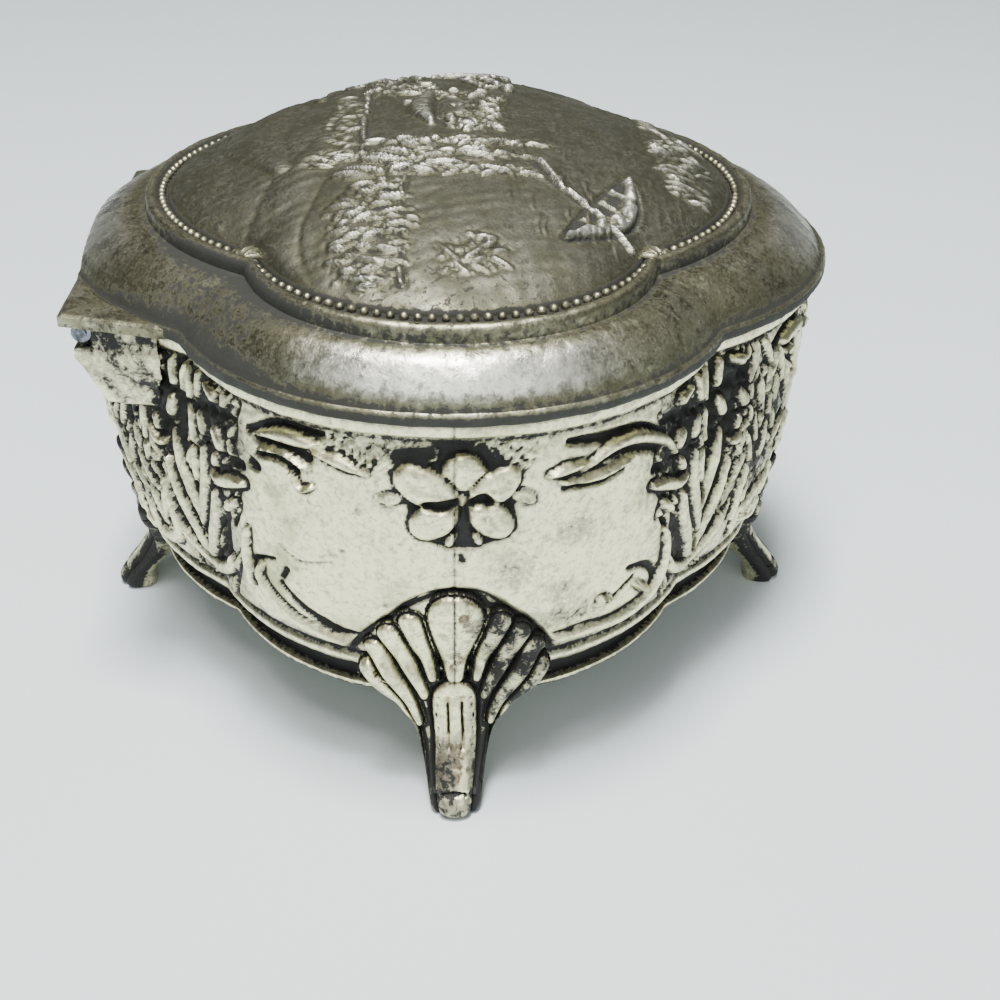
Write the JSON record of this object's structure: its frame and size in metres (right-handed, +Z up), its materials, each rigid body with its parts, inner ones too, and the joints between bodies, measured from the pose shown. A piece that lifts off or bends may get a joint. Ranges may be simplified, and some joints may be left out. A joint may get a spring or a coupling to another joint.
{
  "type": "rosary box",
  "caption": "Small cast four-lobed keepsake box on splayed shell feet, with a hinged domed lid, a beaded raised panel and a padded fabric lining.",
  "frame": {"origin": "bottom centre of the box: midway between the end lobes and midway between the front and back, at the level of the feet", "axes": "+X along the box to its right-hand end, -Y to the front, +Y to the hinge, +Z up"},
  "size_m": [0.0992, 0.0908, 0.0659],
  "materials": {
    "plated_body": "silver plate on a cast white-metal body, bright on the high places and blackened in the recesses",
    "plated_lid": "silver plate on a cast lid, satin, with mottled olive-grey tarnish",
    "plated_sheet": "plain plated sheet, dull",
    "hinge_steel": "dark unplated steel strip and pin",
    "velvet": "short dark-red velvet over card",
    "satin": "dark-red satin over card"
  },
  "bodies": {
    "body": {"body_front_half": "plated_body", "body_back_half": "plated_body", "base_plate": "plated_sheet", "hinge_leaf_body": "hinge_steel", "hinge_pin": "hinge_steel", "floor_pad": "velvet", "wall_lining": "satin"},
    "lid": {"lid": "plated_lid", "hinge_leaf_lid": "hinge_steel", "lid_pad": "satin"}
  },
  "joints": [
    {"name": "lid_hinge", "type": "hinge", "parent": "body", "child": "lid", "pos_m": [0, 0.0404, 0.0474], "axis": [-1, 0, 0], "range_deg": [0, 95]}
  ]
}
